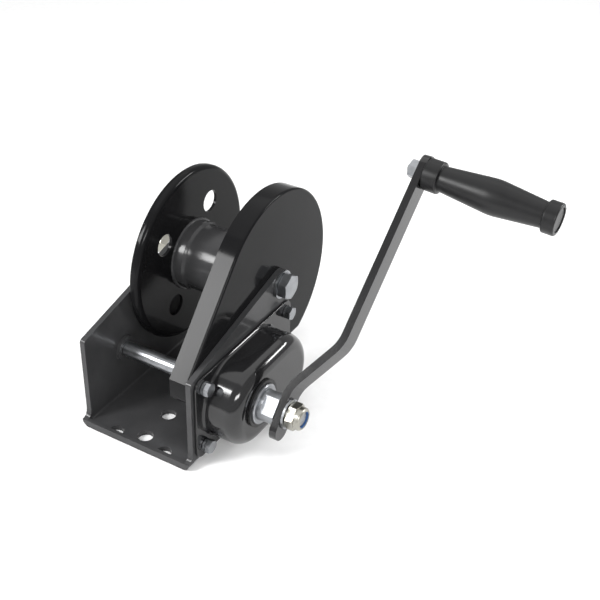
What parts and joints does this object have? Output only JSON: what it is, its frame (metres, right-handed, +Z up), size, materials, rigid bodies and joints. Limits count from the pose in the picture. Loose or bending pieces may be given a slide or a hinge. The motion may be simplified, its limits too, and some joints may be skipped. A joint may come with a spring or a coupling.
{
  "type": "hand winch",
  "caption": "Geared hand winch for a boat trailer: flanged rope drum in a bent steel frame, gear guard, self-acting brake under a domed cover, and a cranked handle with a turning grip.",
  "frame": {"origin": "middle of the frame's flat underside, under the base sheet", "axes": "+X along the drum's axle towards the crank, +Y towards the rear, +Z up, square to the base"},
  "size_m": [0.3167, 0.2105, 0.2115],
  "materials": {
    "black_paint": "gloss black powder coat",
    "zinc": "bright zinc plate",
    "yellow_zinc": "pale yellow zinc plate",
    "steel": "bare turned steel",
    "bronze": "sintered bronze",
    "rubber": "satin black rubber",
    "friction": "woven friction lining",
    "blue_nylon": "blue nylon"
  },
  "bodies": {
    "structure": {"frame": "black_paint", "gear_guard": "black_paint", "brake_cover": "black_paint", "axle_bolt": "zinc", "axle_washer_left": "zinc", "axle_washer_right": "zinc", "axle_nut": "yellow_zinc", "axle_sleeve": "steel", "cover_bolt_front_top": "zinc", "cover_bolt_front_bottom": "zinc", "cover_bolt_rear_top": "zinc", "cover_bolt_rear_bottom": "zinc", "spring_washer_front_top": "zinc", "spring_washer_front_bottom": "zinc", "spring_washer_rear_top": "zinc", "spring_washer_rear_bottom": "zinc", "guard_nut": "zinc", "shaft_bush_left": "black_paint", "shaft_bush_right": "steel", "cover_collar": "zinc", "collar_seal": "rubber", "pawl_pin": "zinc"},
    "drum": {"drum_flange_left": "black_paint", "drum_core": "black_paint", "drum_flange_right": "black_paint", "drum_gear": "steel", "drum_bush_left": "bronze", "drum_bush_right": "bronze"},
    "drive": {"drive_shaft": "zinc", "pinion": "steel", "shaft_disc": "steel", "friction_ring_inner": "friction", "friction_ring_outer": "friction", "shaft_clip": "steel", "crank_hub": "zinc", "crank_arm": "black_paint", "crank_washer": "zinc", "crank_nut": "yellow_zinc", "crank_nut_insert": "blue_nylon", "grip_bolt": "zinc", "grip_nut": "zinc"},
    "grip": {"grip": "rubber", "grip_plug": "rubber"},
    "ratchet": {"ratchet_wheel": "steel"},
    "pawl": {"pawl": "steel", "pawl_spring": "steel"}
  },
  "joints": [
    {"name": "drum_spin", "type": "hinge", "parent": "structure", "child": "drum", "pos_m": [0, 0.0602, 0.0985], "axis": [1, 0, 0], "continuous": true},
    {"name": "crank_spin", "type": "hinge", "parent": "structure", "child": "drive", "pos_m": [0, -0.0205, 0.0465], "axis": [1, 0, 0], "continuous": true},
    {"name": "grip_spin", "type": "hinge", "parent": "drive", "child": "grip", "pos_m": [0.14272, 0.11642, 0.1991], "axis": [0.9981, -0.0408, -0.0454], "continuous": true},
    {"name": "ratchet_spin", "type": "hinge", "parent": "structure", "child": "ratchet", "pos_m": [0, -0.0205, 0.0465], "axis": [1, 0, 0], "continuous": true},
    {"name": "pawl_lift", "type": "hinge", "parent": "structure", "child": "pawl", "pos_m": [0, 0.01068, 0.0645], "axis": [1, 0, 0], "range_deg": [0, 15], "stiffness_Nm_per_rad": 0.02, "springref_deg": -20.05}
  ],
  "couplings": [
    {"joint": "crank_spin", "follows": "drum_spin", "ratio": -3}
  ]
}
